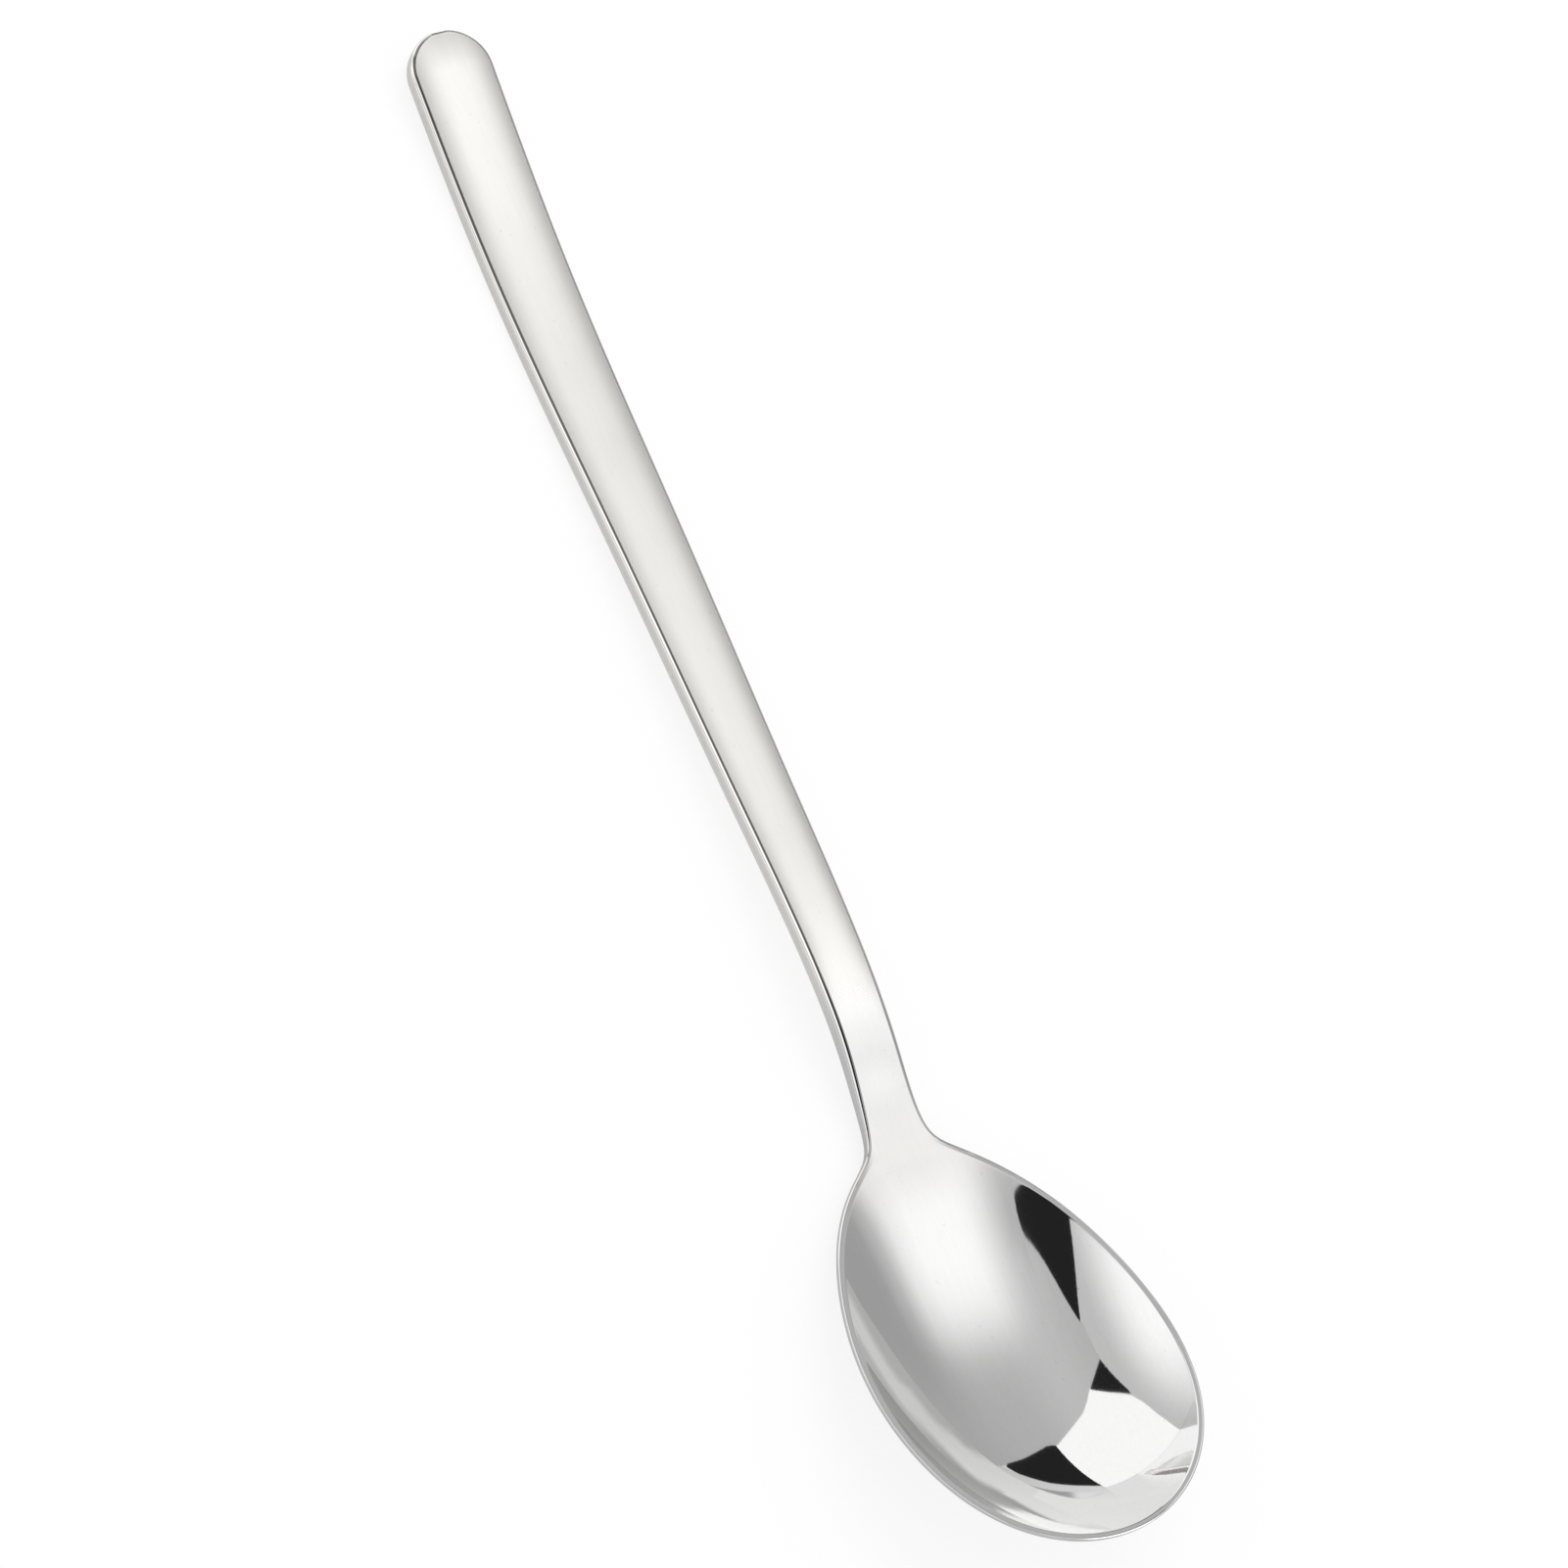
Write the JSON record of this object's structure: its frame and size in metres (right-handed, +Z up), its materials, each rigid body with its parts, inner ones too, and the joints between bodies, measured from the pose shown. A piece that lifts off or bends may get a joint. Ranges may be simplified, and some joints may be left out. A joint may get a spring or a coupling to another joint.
{
  "type": "soup spoon",
  "caption": "Long-handled soup spoon of polished stainless steel, with an egg-shaped dished bowl, a narrow climbing neck and a flat-sided handle that widens to a rounded end.",
  "frame": {"origin": "middle of the spoon's bounding box in plan, on the plane of the table that it rests on", "axes": "+X along the spoon toward the tip of the bowl, +Y across it to the left of someone looking from the handle to the bowl, +Z up out of the open bowl"},
  "size_m": [0.215, 0.0404, 0.0189],
  "materials": {
    "polished_steel": "mirror-polished stainless steel, neutral to slightly warm, in and under the bowl",
    "satin_steel": "softly polished stainless steel of the neck and handle, with finely ground side faces"
  },
  "bodies": {
    "root": {"bowl": "polished_steel", "neck": "satin_steel", "handle": "satin_steel"}
  },
  "joints": []
}
